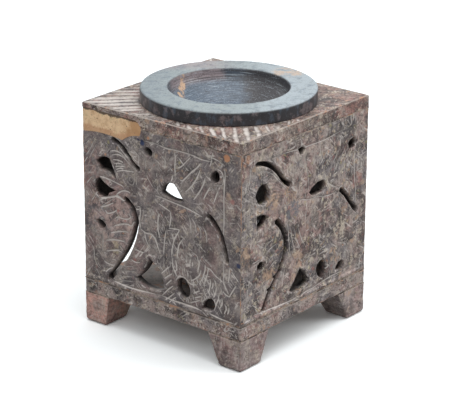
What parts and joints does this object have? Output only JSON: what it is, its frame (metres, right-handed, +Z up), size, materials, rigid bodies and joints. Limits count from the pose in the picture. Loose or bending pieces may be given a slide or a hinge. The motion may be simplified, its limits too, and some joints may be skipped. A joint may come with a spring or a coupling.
{
  "type": "essential oil burner",
  "caption": "Square pierced stone oil burner on short feet, with a lift-out dish in its top and a tealight that slides in at the back to warm the oil.",
  "frame": {"origin": "centre of the ground rectangle that the four feet stand on", "axes": "+Z up, -Y out of the front carved wall, -X out of the left carved wall, +Y out of the rear wall with the candle doorway"},
  "size_m": [0.074, 0.075, 0.0918],
  "materials": {
    "brown_soapstone": "honed, chiselled and waxed",
    "blue_soapstone": "turned and waxed",
    "tan_filler": "rubbed flush, pitted",
    "stone_glue": "matte",
    "cup_aluminium": "pressed, bright",
    "candle_wax": "satin",
    "wick_cotton": "braided",
    "tab_steel": "tinned"
  },
  "bodies": {
    "burner": {"left_wall": "brown_soapstone", "front_wall": "brown_soapstone", "right_wall": "brown_soapstone", "rear_wall": "brown_soapstone", "base_slab": "brown_soapstone", "top_slab": "brown_soapstone", "foot_front_left": "brown_soapstone", "foot_front_right": "brown_soapstone", "foot_rear_left": "brown_soapstone", "foot_rear_right": "brown_soapstone", "filler_patch": "tan_filler", "top_glue_bed": "stone_glue", "base_glue_bed": "stone_glue", "corner_glue": "stone_glue", "foot_glue": "stone_glue"},
    "dish": {"oil_dish": "blue_soapstone"},
    "tealight": {"tealight_cup": "cup_aluminium", "tealight_wax": "candle_wax", "tealight_wick": "wick_cotton", "wick_tab": "tab_steel"}
  },
  "joints": [
    {"name": "dish_lift", "type": "slide", "parent": "burner", "child": "dish", "axis": [0, 0, 1], "range_m": [0, 0.03]},
    {"name": "tealight_slide", "type": "slide", "parent": "burner", "child": "tealight", "axis": [0, 1, 0], "range_m": [0, 0.062]}
  ]
}
